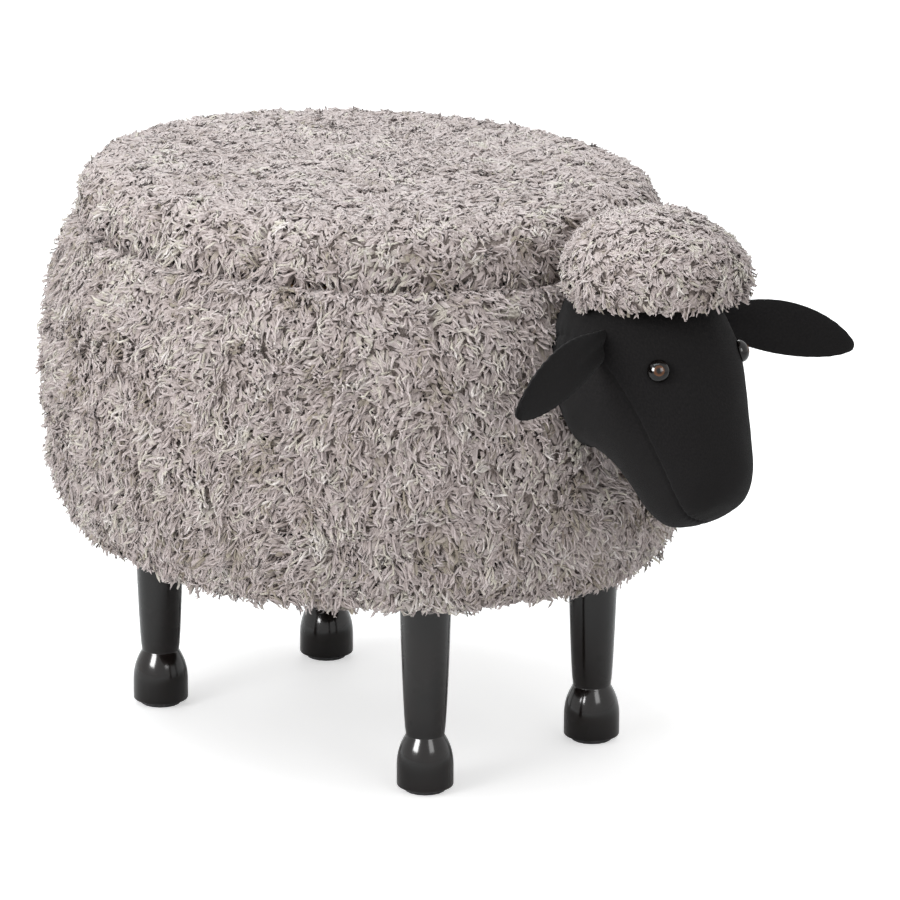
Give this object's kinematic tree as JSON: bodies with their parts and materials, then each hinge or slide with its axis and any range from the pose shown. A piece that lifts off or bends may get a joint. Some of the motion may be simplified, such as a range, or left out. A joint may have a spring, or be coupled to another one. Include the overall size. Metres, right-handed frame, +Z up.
{
  "type": "animal footstool",
  "caption": "Sheep-shaped footstool: fleece-covered oval box with storage, lift-off padded lid, stuffed black head and turned black legs.",
  "frame": {"origin": "on the floor, under the middle of the stool's whole length and width", "axes": "+X towards the head, +Y to the animal's left, +Z up"},
  "size_m": [0.5802, 0.407, 0.4079],
  "materials": {
    "fleece": "matte",
    "black_cloth": "matte",
    "black_lacquer": "gloss",
    "board": "matte",
    "card": "matte",
    "foam": "matte",
    "lining": "matte",
    "filling": "matte",
    "zinc": "satin",
    "eye": "gloss",
    "nylon": "satin"
  },
  "bodies": {
    "stool": {"base_board": "board", "floor_card": "card", "box_wall": "board", "rim_hoop": "board", "wall_foam": "foam", "body_fleece": "fleece", "well_lining": "lining", "dust_cover": "lining", "leg_front_left": "black_lacquer", "leg_front_right": "black_lacquer", "leg_rear_left": "black_lacquer", "leg_rear_right": "black_lacquer", "glide_front_left": "nylon", "glide_front_right": "nylon", "glide_rear_left": "nylon", "glide_rear_right": "nylon", "hanger_bolt_front_left": "zinc", "hanger_bolt_front_right": "zinc", "hanger_bolt_rear_left": "zinc", "hanger_bolt_rear_right": "zinc", "t_nut_front_left": "zinc", "t_nut_front_right": "zinc", "t_nut_rear_left": "zinc", "t_nut_rear_right": "zinc", "head_board": "board", "head_cover": "black_cloth", "head_filling": "filling", "head_bolt_upper": "zinc", "head_bolt_lower": "zinc", "head_washer_upper": "zinc", "head_washer_lower": "zinc", "head_t_nut_upper": "zinc", "head_t_nut_lower": "zinc", "poll_fleece": "fleece", "ear_left": "black_cloth", "ear_right": "black_cloth", "eye_left": "eye", "eye_right": "eye", "eye_washer_left": "nylon", "eye_washer_right": "nylon"},
    "lid": {"lid_board": "board", "lid_foam": "foam", "lid_fleece": "fleece", "lid_lining": "lining", "lid_locating_panel": "board", "lid_screw_front_left": "zinc", "lid_screw_front_right": "zinc", "lid_screw_rear_left": "zinc", "lid_screw_rear_right": "zinc"}
  },
  "joints": [
    {"name": "lid_lift", "type": "slide", "parent": "stool", "child": "lid", "axis": [0, 0, 1], "range_m": [0, 0.15]}
  ]
}
